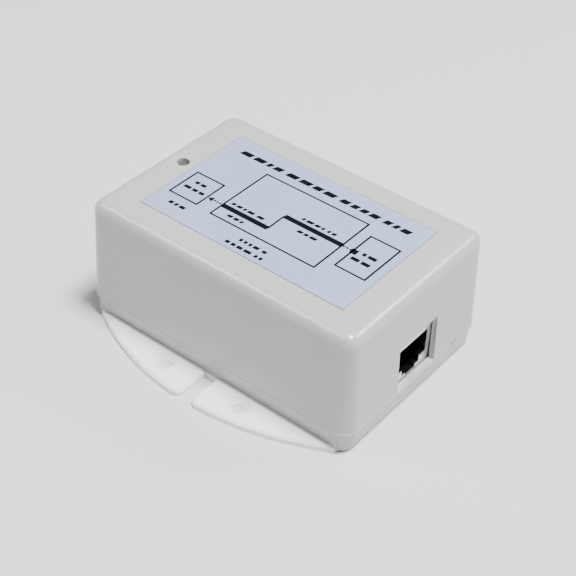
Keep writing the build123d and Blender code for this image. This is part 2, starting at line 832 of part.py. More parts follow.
def make_heat_sink():
    """Finned plate along one side of the board."""
    fin_y = heat_sink_front_y + heat_sink_plate + fin_length / 2
    with BuildPart() as sink:
        with BuildSketch(Plane.XY.offset(board_top)):
            with Locations((heat_sink_x, heat_sink_front_y + heat_sink_plate / 2)):
                Rectangle(heat_sink_length, heat_sink_plate)
            with Locations((heat_sink_x, fin_y)):
                with GridLocations(fin_pitch, 0, fin_count, 1):
                    Rectangle(fin_thickness, fin_length + 2 * fin_overlap)
        extrude(amount=heat_sink_height)
        with BuildSketch(Plane.XZ.offset(-heat_sink_front_y)):
            with Locations((heat_sink_x, transistor_screw_z)):
                Circle(sink_hole_radius)
        extrude(amount=-heat_sink_plate, mode=Mode.SUBTRACT)
        # The screw's nose comes out between two fins
        with BuildSketch(Plane.XY.offset(fin_cut_z)):
            with Locations((heat_sink_x, fin_y + fin_overlap)):
                Rectangle(fin_cut_width, fin_length + 2 * fin_overlap)
        extrude(amount=heat_sink_height, mode=Mode.SUBTRACT)
    write(sink, "heat_sink")


def make_switching_transistor():
    """Tab-mounted transistor, screwed flat against the heat sink."""
    body_height, body_thickness = transistor_body
    tab_height, tab_thickness = transistor_tab
    lead_width, lead_length, lead_thickness = transistor_lead
    face = Plane.XZ.offset(-heat_sink_front_y)
    with BuildPart() as transistor:
        with BuildSketch(face):
            with Locations((heat_sink_x, board_top + transistor_foot + body_height / 2)):
                Rectangle(transistor_width, body_height)
        extrude(amount=body_thickness)
        with BuildSketch(face):
            with Locations((heat_sink_x, board_top + transistor_tab_foot + tab_height / 2)):
                Rectangle(transistor_width, tab_height)
            with Locations((heat_sink_x, transistor_screw_z)):
                Circle(transistor_tab_hole_radius, mode=Mode.SUBTRACT)
        extrude(amount=tab_thickness)
        with BuildSketch(face.offset(transistor_lead_gap)):
            with Locations((heat_sink_x, board_top + lead_length / 2)):
                with GridLocations(transistor_lead_pitch, 0, 3, 1):
                    Rectangle(lead_width, lead_length)
        extrude(amount=lead_thickness)
    write(transistor, "switching_transistor")


def make_transistor_screw():
    tab_thickness = transistor_tab[1]
    head_radius, head_height, head_edge = transistor_head
    face = Plane.XZ.offset(tab_thickness - heat_sink_front_y)
    with BuildPart() as screw:
        with BuildSketch(face):
            with Locations((heat_sink_x, transistor_screw_z)):
                Circle(head_radius)
        extrude(amount=head_height)
        fillet(screw.edges().group_by(Axis.Y)[0], head_edge)
        with BuildSketch(face):
            with Locations((heat_sink_x, transistor_screw_z)):
                Circle(transistor_screw_radius)
        extrude(amount=-tab_thickness - heat_sink_plate - screw_nose)
    write(screw, "transistor_screw")


def make_packages(name, places, size, legs, leg_axis, lift):
    """Moulded packages with a row of legs along two sides."""
    length, width, height = size
    side = width if leg_axis == "x" else length
    pitch = leg_run_share * side / (legs - 1)
    foot = (leg_length, pitch * leg_share)
    grid = (length + leg_reach, pitch, 2, legs)
    if leg_axis == "y":
        foot = (pitch * leg_share, leg_length)
        grid = (pitch, width + leg_reach, legs, 2)
    with BuildPart() as packages:
        with BuildSketch(Plane.XY.offset(board_top + lift)):
            with Locations(*places):
                Rectangle(length, width)
        extrude(amount=height)
        chamfer(packages.edges().group_by(Axis.Z)[-1], package_bevel)
        with BuildSketch(Plane.XY.offset(board_top)):
            with Locations(*places):
                with GridLocations(*grid):
                    Rectangle(*foot)
        extrude(amount=lift + leg_height)
    write(packages, name)


def make_chips(name, places, size):
    """Small leadless parts soldered straight to the board."""
    length, width, height = size
    with BuildPart() as chips:
        with BuildSketch(Plane.XY.offset(board_top)):
            with Locations(*places):
                Rectangle(length, width)
        extrude(amount=height)
    write(chips, name)


def make_disc_capacitor():
    disc_x, disc_y = disc_place
    mid_z = board_top + disc_radius + disc_lift
    with BuildPart() as disc:
        with BuildSketch(Plane.XZ.offset(-disc_y - disc_thickness / 2)):
            with Locations((disc_x, mid_z)):
                Circle(disc_radius)
        extrude(amount=disc_thickness)
        fillet(disc.edges(), disc_thickness * disc_edge_share)
        with BuildSketch(Plane.XY.offset(board_top)):
            with Locations((disc_x, disc_y)):
                with GridLocations(2 * disc_lead_reach, 0, 2, 1):
                    Circle(disc_lead_radius)
        extrude(amount=disc_lead_height)
    write(disc, "isolation_capacitor")


def make_diode(name, place, body_radius, body_length, span, lift):
    """Axial diode lying along Y, its wires bent down to the board."""
    axis_z = board_top + body_radius + lift
    with BuildPart() as diode:
        with BuildSketch(Plane.XZ.offset(-place[1] - body_length / 2)):
            with Locations((place[0], axis_z)):
                Circle(body_radius)
        extrude(amount=body_length)
        fillet(diode.edges(), diode_edge_radius)
        lane = Plane(origin=(place[0], 0, 0), x_dir=(0, 1, 0), z_dir=(1, 0, 0))
        with BuildLine(lane) as path:
            FilletPolyline(
                (place[1] - span / 2, board_top),
                (place[1] - span / 2, axis_z),
                (place[1] + span / 2, axis_z),
                (place[1] + span / 2, board_top),
                radius=diode_bend_radius,
            )
        with BuildSketch(Plane(origin=path.line @ 0, z_dir=path.line % 0)):
            Circle(diode_wire_radius)
        sweep()
    write(diode, name)


def make_fuse():
    with BuildPart() as fuse:
        with BuildSketch(Plane.XY.offset(board_top + fuse_lift)):
            with Locations(fuse_place):
                Circle(fuse_radius)
        extrude(amount=fuse_height)
        fillet(fuse.edges().group_by(Axis.Z)[-1], fuse_edge_radius)
        with BuildSketch(Plane.XY.offset(board_top)):
            with Locations(fuse_place):
                with GridLocations(0, 2 * fuse_lead_reach, 1, 2):
                    Circle(fuse_lead_radius)
        extrude(amount=fuse_lift + fuse_edge_radius)
    write(fuse, "input_fuse")


# ---- Assembly -----------------------------------------------------------------------------
make_base_plate()
make_top_cover()
make_label()
make_cover_screws()
make_board_screws()
make_circuit_board()
for end, side in ((1, "input"), (-1, "output")):
    make_socket_housing(end, f"{side}_socket_housing")
    make_socket_shield(end, f"{side}_socket_shield")
    make_socket_pins(end, f"{side}_socket_pins")
    make_socket_contacts(end, f"{side}_socket_contacts")
    make_packages(f"{side}_magnetics", [(end * magnetics_x, magnetics_y)], magnetics_size,
                  legs=8, leg_axis="x", lift=0.3)
make_status_led()
make_transformer_core()
make_transformer_bobbin()
make_transformer_winding()
make_capacitors("input_capacitor", input_capacitor_places, input_capacitor_size)
make_capacitors("output_capacitors", output_capacitor_places, output_capacitor_size)
make_choke()
make_output_inductor()
make_heat_sink()
make_switching_transistor()
make_transistor_screw()
make_packages("bridge_rectifiers", bridge_places, bridge_size, legs=2, leg_axis="x", lift=0.4)
make_packages("controller_chip", [(1.6, -9.4)], controller_size, legs=4, leg_axis="y", lift=0.1)
make_packages("optocoupler", [(-8.0, -8.2)], optocoupler_size, legs=2, leg_axis="x", lift=0.4)
make_disc_capacitor()
make_diode("rectifier_diode", (-15.4, 3.4), body_radius=2.4, body_length=8.6, span=14.0, lift=0.8)
make_diode("surge_suppressor", (17.6, -4.4), body_radius=1.6, body_length=6.0, span=9.6, lift=0.5)
make_fuse()
make_chips("chip_capacitors", chip_capacitor_places, chip_capacitor_size)
make_chips("chip_resistors", chip_resistor_places, chip_resistor_size)
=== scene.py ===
import json
import random
from math import cos, pi, radians, sin

import bmesh
import bpy
from mathutils import Matrix, Vector


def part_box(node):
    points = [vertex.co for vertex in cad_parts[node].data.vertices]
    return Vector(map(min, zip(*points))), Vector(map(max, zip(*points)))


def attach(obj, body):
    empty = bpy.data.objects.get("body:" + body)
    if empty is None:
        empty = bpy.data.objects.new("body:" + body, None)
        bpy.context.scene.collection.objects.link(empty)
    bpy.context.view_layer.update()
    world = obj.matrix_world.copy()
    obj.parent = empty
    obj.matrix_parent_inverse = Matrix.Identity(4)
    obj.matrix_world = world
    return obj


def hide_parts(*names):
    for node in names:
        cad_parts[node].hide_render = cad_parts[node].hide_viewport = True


# Power over Ethernet injector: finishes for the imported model, the label's print, and the small
# surface pieces that the solid model leaves out. Metres, in the model's own frame.

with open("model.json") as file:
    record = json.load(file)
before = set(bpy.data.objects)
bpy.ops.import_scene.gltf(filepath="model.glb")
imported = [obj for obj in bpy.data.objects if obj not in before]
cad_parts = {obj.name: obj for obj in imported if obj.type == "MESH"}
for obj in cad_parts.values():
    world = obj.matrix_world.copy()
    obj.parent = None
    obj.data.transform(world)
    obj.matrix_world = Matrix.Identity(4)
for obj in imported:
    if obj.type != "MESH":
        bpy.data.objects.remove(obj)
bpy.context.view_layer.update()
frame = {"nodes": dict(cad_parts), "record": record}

MM = 0.001

# ---- Label: thicknesses, corners and lines ----------------------------------------------------
FILM_THICKNESS = 0.135 * MM     # the print fills the rest of the label's thickness
FILM_CORNER = 0.5 * MM
INK_OVERLAP = 0.01 * MM         # how far the print reaches down into the film
LINE = 0.5 * MM
HEAVY_LINE = 1.55 * MM
BORDER = 0.16 * MM

# ---- Label: the diagram, in millimetres from the middle of the model --------------------------
BOXES = ((-26.9, -10.75, -18.45, -0.76), (-13.76, -11.2, 16.75, 9.66), (19.8, -7.45, 28.0, 6.3))
HEAVY_BARS = ((-13.76, 0.0, -6.9), (0.0, 16.7, -0.71))      # from x, to x, middle y
RISER = (-7.0, -0.71)           # from y, to y, on the Y axis
DASHES = 3
FIRST_DASH = 16.9
DASH_PITCH = 1.0
DASH_LENGTH = 0.66
DASH_SIDES = (-0.98, -0.44)
END_BLOCK = (19.3, -1.7, 21.1, 0.1)
DOTS = 3
FIRST_DOT = -14.7
DOT_PITCH = 0.85
DOT_LENGTH = 0.5
DOT_SIDES = (-7.15, -6.5)
ARROW = ((-18.2, -6.82), (-16.7, -7.75), (-16.7, -5.9))

# ---- Label: rows of separate blocks, where the real label has words ---------------------------
MARK_GAP = 0.3                  # gap, height and widths, as shares of the height of a row
MARK_HEIGHT = 0.6
MARK_WIDTHS = (0.5, 0.7, 0.9, 1.2)
MARKS_IN_GROUP = 4
MARK_ROWS = (                   # from x, to x, middle y and height in millimetres, and slant
    (-24.8, 27.0, 13.1, 2.7, 0.45), (-24.3, -19.2, -13.9, 1.8, 0.25),
    (-2.2, 5.8, -14.3, 1.7, 0.1), (-4.4, 8.6, -16.7, 1.7, 0.1),
    (-12.6, -1.6, -4.9, 1.6, 0.35), (-10.4, -3.4, -9.1, 1.6, 0.35),
    (3.6, 14.2, 1.3, 1.6, 0.35), (5.6, 11.4, -3.1, 1.6, 0.35),
    (-24.6, -20.4, -4.1, 1.7, 0.1), (-25.8, -19.2, -6.8, 1.7, 0.1),
    (22.2, 26.4, -0.2, 1.9, 0.0), (20.9, 26.8, -2.9, 1.9, 0.0),
)

# ---- Board details ---------------------------------------------------------------------------
CANS = ("input_capacitor", "output_capacitors")
OUTLINED = ("controller_chip", "optocoupler", "input_magnetics", "output_magnetics", "input_fuse",
            "surge_suppressor", "rectifier_diode", "isolation_capacitor", "transformer_core")
DOTTED = ("controller_chip", "optocoupler", "input_magnetics", "output_magnetics")
PAINT = 0.03 * MM               # half the thickness of a printed or painted layer
PRINT_LINE = 0.2 * MM
PRINT_MARGIN = 0.35 * MM
PIN_DOT = 0.35 * MM
PIN_DOT_SPAN = 350              # degrees; the outline closes itself
VENT_GROOVE = 0.12 * MM
VENT_SHARE = 0.78               # of the can's radius
VENT_HEIGHT = 0.08 * MM
STRIPE_SPAN = 50                # degrees
STRIPE_MIDDLE = 205
STRIPE_MARGIN = 1.5 * MM        # clear of the board and of the can's top
BEAD_SIZE = 1.1 * MM
BEAD_STEPS = 48
BEAD_PROFILE = ((-0.3, 0.0), (1.0, 0.0), (0.9, 0.35), (0.5, 0.75), (-0.3, 1.0))  # out and up
BEAD_SWELLS = ((0.25, 2), (0.15, 5))    # height of each swell, and how many go round the can

# ---- Camera: where it stands, and which way it looks (degrees) --------------------------------
CAMERA_PLACE = (152.5 * MM, -199.5 * MM, 220.65 * MM)
CAMERA_AZIMUTH = 37.148
CAMERA_ELEVATION = 39.781
CAMERA_ROLL = 2.461
CAMERA_LENS = 83.89
SENSOR_WIDTH = 36

# ---- Stage -----------------------------------------------------------------------------------
FLOOR_REACH = 4.0
FLOOR_DEPTH = 0.02
FLOOR_BLOTCH = 0.5
FLOOR_DARK = (0.60, 0.60, 0.60)
FLOOR_LIGHT = (0.62, 0.62, 0.62)
WORLD_COLOUR = (0.96, 0.98, 1.0)
WORLD_STRENGTH = 0.20
LIGHTS_AIM = Vector((0, 0, 0.015))
LIGHTS = (                      # name, place, size, watts, colour
    ("overhead", (0.26, 0.04, 1.1), 0.26, 33.6, (1.0, 1.0, 1.0)),
    ("front_edge", (-0.5, -0.4, 0.8), 0.26, 3.2, (0.97, 0.98, 1.0)),
    ("right_edge", (0.5, 0.7, 0.75), 0.26, 5.5, (1.0, 0.94, 0.89)),
    ("right_side", (1.0, 0.3, 0.35), 0.5, 1.1, (1.0, 0.78, 0.62)),
)

# ---- Base's plastic: painted light on the flanges, painted shade on the walls ------------------
# The walls get the plastic's own grey, set a little darker than the cover's as painted shade.
WALL_TONE_AND_PAINTED_SHADE = (0.385, 0.385, 0.387)
# Painted light: the flanges are coloured far paler than the walls, as if lit more brightly.
FLANGE_PAINTED_LIGHT_COLOUR = (0.90, 0.905, 0.92)
FLANGE_ROOT = 26.5 * MM         # the flanges, painted paler as painted light, lie outside this line and below this height
FLANGE_TOP = 1.85 * MM
BLOTCH_SHARE = 0.1              # of the range that picks the base's colour

# ---- Finishes ----------------------------------------------------------------------------------
DARKEST, PALEST = 0.3, 0.7      # most of a noise texture lies between these values
GLOSS_SPREAD = 0.05
CASE_BLOTCH = 14
CASE_CONTRAST = 0.012
CASE_GLOSS = (0.25, 0.22, 0.004, {"specular_ior_level": 0.85})

# Colour, size of its blotches in millimetres, their contrast, roughness, size and depth of the
# grain in millimetres, and other values of the shader
MOTTLED = {
    "case_plastic": ((0.405, 0.405, 0.407), CASE_BLOTCH, CASE_CONTRAST, *CASE_GLOSS),
    # The base's plastic: its grey is set a little darker than the cover's as painted shade.
    "base_plastic": (WALL_TONE_AND_PAINTED_SHADE, CASE_BLOTCH, CASE_CONTRAST, *CASE_GLOSS),
    "label_film": ((0.30, 0.352, 0.50), 9, 0.03, 0.34, 0.5, 0.002, {}),
    "label_ink": ((0.002, 0.003, 0.008), 1.5, 0.2, 0.5, 0.3, 0.002, {"specular_ior_level": 0.1}),
    "label_border": ((0.16, 0.19, 0.25), 2, 0.1, 0.4, 0.3, 0.002, {}),
    "zinc_steel": ((0.60, 0.60, 0.57), 1, 0.08, 0.3, 0.2, 0.004, {"metallic": 1.0}),
    "led_epoxy": ((0.15, 0.14, 0.10), 0.8, 0.25, 0.15, 0.5, 0.004, {"transmission_weight": 0.35}),
    "sleeve_rubber": ((0.02, 0.02, 0.02), 1, 0.2, 0.6, 0.2, 0.01, {}),
    "ferrite": ((0.05, 0.05, 0.055), 1.2, 0.25, 0.5, 0.2, 0.02, {}),
    "bobbin_plastic": ((0.015, 0.015, 0.015), 2, 0.2, 0.45, 0.2, 0.005, {}),
    "capacitor_sleeve": ((0.012, 0.02, 0.07), 2, 0.15, 0.28, 1.5, 0.01, {"coat_weight": 0.5}),
    "choke_coating": ((0.04, 0.16, 0.06), 1, 0.15, 0.35, 0.6, 0.03, {}),
    "chip_epoxy": ((0.012, 0.012, 0.012), 1, 0.2, 0.5, 0.12, 0.01, {}),
    "disc_coating": ((0.03, 0.12, 0.38), 1, 0.12, 0.3, 0.8, 0.03, {"coat_weight": 0.5}),
    "fuse_plastic": ((0.035, 0.02, 0.012), 2, 0.15, 0.3, 0.3, 0.005, {}),
    "chip_ceramic": ((0.32, 0.23, 0.14), 0.5, 0.15, 0.4, 0.1, 0.005, {}),
    "socket_plastic": ((0.0015, 0.0015, 0.0015), 2, 0.2, 0.7, 0.15, 0.004,
                       {"specular_ior_level": 0.1}),
    "contact_gold": ((0.72, 0.50, 0.16), 1, 0.05, 0.25, 0.2, 0.002, {"metallic": 1.0}),
    "sleeve_stripe": ((0.55, 0.58, 0.62), 1, 0.08, 0.3, 0.8, 0.004, {}),
    "adhesive": ((0.75, 0.73, 0.66), 2, 0.06, 0.42, 0.7, 0.03, {}),
    "board_print": ((0.72, 0.74, 0.70), 1, 0.08, 0.5, 0.3, 0.003, {}),
}
ROLLED = {                      # colour and roughness
    "tinned_wire": ((0.66, 0.66, 0.64), 0.3),
    "anodised_aluminium": ((0.07, 0.07, 0.075), 0.4),
    "socket_shield": ((0.70, 0.70, 0.68), 0.34),
    "can_aluminium": ((0.75, 0.75, 0.76), 0.3),
}
ROLLING_LINE = 0.12 * MM
ROLLING_DETAIL = 3.0
ROLLING_STRETCH = 0.06          # of the lines' frequency along X
ROLLING_DEPTH = 0.003 * MM
ROLLED_BLOTCH = 4 * MM
MASK_COLOUR = (0.010, 0.075, 0.028)
TRACK_COLOUR = (0.018, 0.125, 0.045)
TRACK_SIZE = 2.6 * MM
TRACK_STRETCH = 0.25            # of the tracks' frequency along Y
TRACK_EDGES = (0.47, 0.49, 0.56, 0.58)
TRACK_RISE = 0.02 * MM
COPPER_COLOUR = (0.62, 0.25, 0.09)
COPPER_GAP_SHADE = 0.35               # painted shade between the turns
WIRE_PITCH = 0.9 * MM
WIRE_RISE = 0.2 * MM
TAPE_LAYER = 2.2 * MM
TAPE_WOBBLE = 0.3
TAPE_DARK = (0.58, 0.36, 0.02)
TAPE_LIGHT = (0.72, 0.47, 0.04)
TAPE_RISE = 0.05 * MM


# ---- Node helpers ----------------------------------------------------------------------------
class Finish:
    """A Principled material whose colour, gloss and relief come from textures on the object."""

    def __init__(self, name, **constants):
        self.material = bpy.data.materials.new(name)
        self.material.use_nodes = True
        self.tree = self.material.node_tree
        self.shader = self.tree.nodes["Principled BSDF"]
        self.place = self.tree.nodes.new("ShaderNodeTexCoord").outputs["Object"]
        for name, value in constants.items():
            socket = name.replace("_", " ").title().replace("Ior", "IOR")
            self.shader.inputs[socket].default_value = value

    def link(self, source, target):
        self.tree.links.new(source, target)

    def stretched(self, x, y, z):
        node = self.tree.nodes.new("ShaderNodeMapping")
        node.inputs["Scale"].default_value = (x, y, z)
        self.link(self.place, node.inputs["Vector"])
        return node.outputs["Vector"]

    def noise(self, size, detail=2.0, vector=None):
        """Noise whose blotches are about size across."""
        node = self.tree.nodes.new("ShaderNodeTexNoise")
        node.inputs["Scale"].default_value = 1 / size
        node.inputs["Detail"].default_value = detail
        self.link(vector or self.place, node.inputs["Vector"])
        return node.outputs["Fac"]

    def bands(self, size, direction="Z", wobble=0.0):
        """Even bands, one every size along a direction; at scale 1 a wave repeats every pi / 10."""
        node = self.tree.nodes.new("ShaderNodeTexWave")
        node.bands_direction = direction
        node.inputs["Scale"].default_value = pi / (10 * size)
        node.inputs["Distortion"].default_value = wobble
        self.link(self.place, node.inputs["Vector"])
        return node.outputs["Fac"]

    def calculate(self, operation, first, second=None):
        """A Math node; the second value is a number or another node's output."""
        node = self.tree.nodes.new("ShaderNodeMath")
        node.operation = operation
        self.link(first, node.inputs[0])
        if isinstance(second, (int, float)):
            node.inputs[1].default_value = second
        elif second is not None:
            self.link(second, node.inputs[1])
        return node.outputs["Value"]

    def ramp(self, source, *stops):
        node = self.tree.nodes.new("ShaderNodeValToRGB")
        elements = node.color_ramp.elements
        while len(elements) < len(stops):
            elements.new(0.5)
        for element, (position, colour) in zip(elements, stops):
            element.position = position
            element.color = (*colour, 1)
        self.link(source, node.inputs["Fac"])
        return node.outputs["Color"]

    def colour(self, source, *stops):
        self.link(self.ramp(source, *stops), self.shader.inputs["Base Color"])

    def roughness(self, source, low, high):
        node = self.tree.nodes.new("ShaderNodeMapRange")
        node.inputs["To Min"].default_value = low
        node.inputs["To Max"].default_value = high
        self.link(source, node.inputs["Value"])
        self.link(node.outputs["Result"], self.shader.inputs["Roughness"])

    def relief(self, source, depth, strength=1.0):
        node = self.tree.nodes.new("ShaderNodeBump")
        node.inputs["Distance"].default_value = depth
        node.inputs["Strength"].default_value = strength
        self.link(source, node.inputs["Height"])
        self.link(node.outputs["Normal"], self.shader.inputs["Normal"])


def shade(colour, factor):
    return tuple(min(1.0, c * factor) for c in colour)


def mottled(name):
    """The usual finish: slight blotches of colour, uneven gloss and a fine grain."""
    colour, size, contrast, rough, grain_size, grain_depth, constants = MOTTLED[name]
    finish = Finish(name, **constants)
    finish.colour(finish.noise(size * MM), (DARKEST, shade(colour, 1 - contrast)),
                  (PALEST, shade(colour, 1 + contrast)))
    finish.roughness(finish.noise(size * MM / 2), rough - GLOSS_SPREAD, rough + GLOSS_SPREAD)
    finish.relief(finish.noise(grain_size * MM), grain_depth * MM)
    return finish


def base_plastic():
    """The case's plastic, with painted light making the flanges paler and painted shade darkening
    the walls, and slightly blotched all over.
    """
    finish = mottled("base_plastic")
    split = finish.tree.nodes.new("ShaderNodeSeparateXYZ")
    finish.link(finish.place, split.inputs["Vector"])
    side = finish.calculate("ABSOLUTE", split.outputs["Y"])
    outside = finish.calculate("GREATER_THAN", side, FLANGE_ROOT)
    below = finish.calculate("LESS_THAN", split.outputs["Z"], FLANGE_TOP)
    # Painted light: the flanges' mask, which picks their pale colour.
    flange_light_mask = finish.calculate("MULTIPLY", outside, below)
    step = finish.calculate("MULTIPLY", flange_light_mask, 1 - BLOTCH_SHARE)
    blotch = finish.calculate("MULTIPLY", finish.noise(CASE_BLOTCH * MM), BLOTCH_SHARE)
    # Stops: the walls' grey with painted shade, then the flanges' pale painted light.
    stops = [(start + BLOTCH_SHARE * level, shade(colour, factor))
             for start, colour in ((0.0, WALL_TONE_AND_PAINTED_SHADE), (1 - BLOTCH_SHARE, FLANGE_PAINTED_LIGHT_COLOUR))
             for level, factor in ((DARKEST, 1 - CASE_CONTRAST), (PALEST, 1 + CASE_CONTRAST))]
    finish.colour(finish.calculate("ADD", step, blotch), *stops)
    return finish


def solder_mask():
    """Green mask, raised and lighter over the copper tracks under it."""
    finish = Finish("solder_mask", coat_weight=0.3)
    tracks = finish.noise(TRACK_SIZE, 0.0, finish.stretched(1, TRACK_STRETCH, 1))
    colours = (MASK_COLOUR, TRACK_COLOUR, TRACK_COLOUR, MASK_COLOUR)
    finish.colour(tracks, *zip(TRACK_EDGES, colours))
    finish.roughness(finish.noise(3 * MM), 0.28, 0.4)
    finish.relief(tracks, TRACK_RISE)
    return finish


def rolled_metal(name):
    """Sheet or wire with fine rolling lines along X."""
    colour, rough = ROLLED[name]
    finish = Finish(name, metallic=1.0)
    lines = finish.noise(ROLLING_LINE, ROLLING_DETAIL, finish.stretched(ROLLING_STRETCH, 1, 1))
    finish.colour(finish.noise(ROLLED_BLOTCH), (DARKEST, shade(colour, 0.94)),
                  (PALEST, shade(colour, 1.04)))
    finish.roughness(lines, rough - 0.06, rough + 0.08)
    finish.relief(lines, ROLLING_DEPTH)
    return finish


def enamelled_copper():
    """Round turns of wire, laid side by side up Z, with painted shade between the turns."""
    finish = Finish("enamelled_copper", metallic=0.85, coat_weight=0.6)
    turns = finish.bands(WIRE_PITCH)
    # Painted shade: the copper darkens between the turns.
    finish.colour(turns, (0.0, shade(COPPER_COLOUR, COPPER_GAP_SHADE)), (0.45, COPPER_COLOUR))
    finish.roughness(finish.noise(1 * MM), 0.25, 0.38)
    finish.relief(turns, WIRE_RISE)
    return finish


def winding_tape():
    """Layers of glossy tape, lapped along X."""
    finish = Finish("winding_tape", coat_weight=0.4)
    layers = finish.bands(TAPE_LAYER, "X", TAPE_WOBBLE)
    finish.colour(layers, (0.1, TAPE_DARK), (0.5, TAPE_LIGHT))
    finish.roughness(finish.noise(2 * MM), 0.22, 0.34)
    finish.relief(layers, TAPE_RISE)
    return finish


def plain_finishes():
    """One finish for each material slot of the record."""
    made = {"steel_screw": mottled("zinc_steel"), "board_laminate": solder_mask(),
            "winding_tape": winding_tape(), "enamelled_copper": enamelled_copper()}
    for slot in {part["material_slot"]: None for part in frame["record"]["subparts"]}:
        if slot not in made:
            made[slot] = mottled(slot) if slot in MOTTLED else rolled_metal(slot)
    return made


def paint(node, finish):
    for slot in frame["nodes"][node].material_slots:
        slot.material = finish.material


# ---- Mesh helpers ----------------------------------------------------------------------------
def new_piece(name, mesh, finish, body):
    data = bpy.data.meshes.new(name)
    mesh.to_mesh(data)
    mesh.free()
    data.materials.append(finish.material)
    piece = bpy.data.objects.new(name, data)
    bpy.context.scene.collection.objects.link(piece)
    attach(piece, body)
    return piece


def add_prism(mesh, outline, low, high):
    """Closed prism over an outline that runs anticlockwise."""
    bottom = [mesh.verts.new((x, y, low)) for x, y in outline]
    top = [mesh.verts.new((x, y, high)) for x, y in outline]
    mesh.faces.new(top)
    mesh.faces.new(list(reversed(bottom)))
    for i in range(len(outline)):
        j = (i + 1) % len(outline)
        mesh.faces.new((bottom[i], bottom[j], top[j], top[i]))


def add_bar(mesh, x0, y0, x1, y1, low, high):
    add_prism(mesh, [(x0, y0), (x1, y0), (x1, y1), (x0, y1)], low, high)


def add_frame(mesh, x0, y0, x1, y1, width, low, high):
    """Outline of a rectangle, as four bars that butt at the corners."""
    w = width / 2
    add_bar(mesh, x0 - w, y0 - w, x1 + w, y0 + w, low, high)
    add_bar(mesh, x0 - w, y1 - w, x1 + w, y1 + w, low, high)
    add_bar(mesh, x0 - w, y0 + w, x0 + w, y1 - w, low, high)
    add_bar(mesh, x1 - w, y0 + w, x1 + w, y1 - w, low, high)


def rounded_outline(x0, y0, x1, y1, radius, steps=6):
    corners = ((x1, y1, 0), (x0, y1, 90), (x0, y0, 180), (x1, y0, 270))
    outline = []
    for x, y, first in corners:
        centre_x = x - radius if x == x1 else x + radius
        centre_y = y - radius if y == y1 else y + radius
        for step in range(steps + 1):
            angle = radians(first + 90 * step / steps)
            outline.append((centre_x + radius * cos(angle), centre_y + radius * sin(angle)))
    return outline


# ---- Label's print ---------------------------------------------------------------------------
def add_marks(mesh, x0, x1, middle, height, low, high, slant, seed):
    """A row of separate blocks, all one height, where the real label has words."""
    pick = random.Random(seed)
    x = x0
    count = 0
    rise = height * MARK_HEIGHT
    base = middle - rise / 2
    lean = slant * rise
    while True:
        width = height * pick.choice(MARK_WIDTHS)
        if x + width > x1:
            break
        add_prism(mesh, [(x, base), (x + width, base), (x + width + lean, base + rise),
                         (x + lean, base + rise)], low, high)
        x += width + height * MARK_GAP
        count += 1
        if count % MARKS_IN_GROUP == 0:
            x += height * MARK_GAP


def add_diagram(mesh, low, high):
    """Three boxes joined by a stepped heavy bar, with dashes at one end and an arrow."""
    for x0, y0, x1, y1 in BOXES:
        add_frame(mesh, x0 * MM, y0 * MM, x1 * MM, y1 * MM, LINE, low, high)
    for x0, x1, y in HEAVY_BARS:
        add_bar(mesh, x0 * MM, y * MM - HEAVY_LINE / 2, x1 * MM, y * MM + HEAVY_LINE / 2, low,
                high)
    add_bar(mesh, -LINE / 2, RISER[0] * MM, LINE / 2, RISER[1] * MM, low, high)
    for dash in range(DASHES):
        x = (FIRST_DASH + dash * DASH_PITCH) * MM
        add_bar(mesh, x, DASH_SIDES[0] * MM, x + DASH_LENGTH * MM, DASH_SIDES[1] * MM, low, high)
    add_bar(mesh, *(value * MM for value in END_BLOCK), low, high)
    for dot in range(DOTS):
        x = (FIRST_DOT - dot * DOT_PITCH) * MM
        add_bar(mesh, x, DOT_SIDES[0] * MM, x + DOT_LENGTH * MM, DOT_SIDES[1] * MM, low, high)
    add_prism(mesh, [(x * MM, y * MM) for x, y in ARROW], low, high)


def make_label():
    """Film with a fine border, and the block diagram printed on it."""
    low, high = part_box("label")
    film_top = low.z + FILM_THICKNESS
    ink_low = film_top - INK_OVERLAP

    mesh = bmesh.new()
    add_prism(mesh, rounded_outline(low.x, low.y, high.x, high.y, FILM_CORNER), low.z, film_top)
    film = new_piece("label_sheet", mesh, finishes["label_film"], "cover")
    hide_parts("label")

    mesh = bmesh.new()
    add_frame(mesh, low.x + BORDER / 2, low.y + BORDER / 2, high.x - BORDER / 2,
              high.y - BORDER / 2, BORDER, ink_low, high.z)
    new_piece("label_border", mesh, mottled("label_border"), "cover")

    ink = mottled("label_ink")
    mesh = bmesh.new()
    add_diagram(mesh, ink_low, high.z)
    new_piece("label_diagram", mesh, ink, "cover")

    mesh = bmesh.new()
    for seed, (x0, x1, y, height, slant) in enumerate(MARK_ROWS):
        add_marks(mesh, x0 * MM, x1 * MM, y * MM, height * MM, ink_low, high.z, slant, seed)
    new_piece("label_marks", mesh, ink, "cover")


# ---- Small pieces on the board -----------------------------------------------------------------
def arc(x, y, radius, first, last, steps=24):
    angles = [radians(first + (last - first) * i / steps) for i in range(steps + 1)]
    return [(x + radius * cos(a), y + radius * sin(a)) for a in angles]


def upright_cans(node):
    """Centre, radius and top of each can in a node that holds one, or two side by side in Y."""
    low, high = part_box(node)
    radius = (high.x - low.x) / 2
    x = (low.x + high.x) / 2
    centres = sorted({round(low.y + radius, 6), round(high.y - radius, 6)})
    return [(x, y, radius, high.z) for y in centres]


def add_vented_top(mesh, x, y, radius, top):
    """The can's bare end, four quarters apart along the vent's grooves."""
    for quarter in range(4):
        first = 90 * quarter
        middle = radians(first + 45)
        cx = x + VENT_GROOVE * cos(middle)
        cy = y + VENT_GROOVE * sin(middle)
        add_prism(mesh, [(cx, cy)] + arc(cx, cy, radius * VENT_SHARE, first, first + 90), top,
                  top + VENT_HEIGHT)


def add_stripe(mesh, x, y, radius, middle, low, high):
    """Pale stripe down one side of a can's sleeve."""
    first, last = middle - STRIPE_SPAN / 2, middle + STRIPE_SPAN / 2
    outer = arc(x, y, radius + PAINT, first, last)
    inner = arc(x, y, radius - PAINT, last, first)
    add_prism(mesh, outer + inner, low, high)


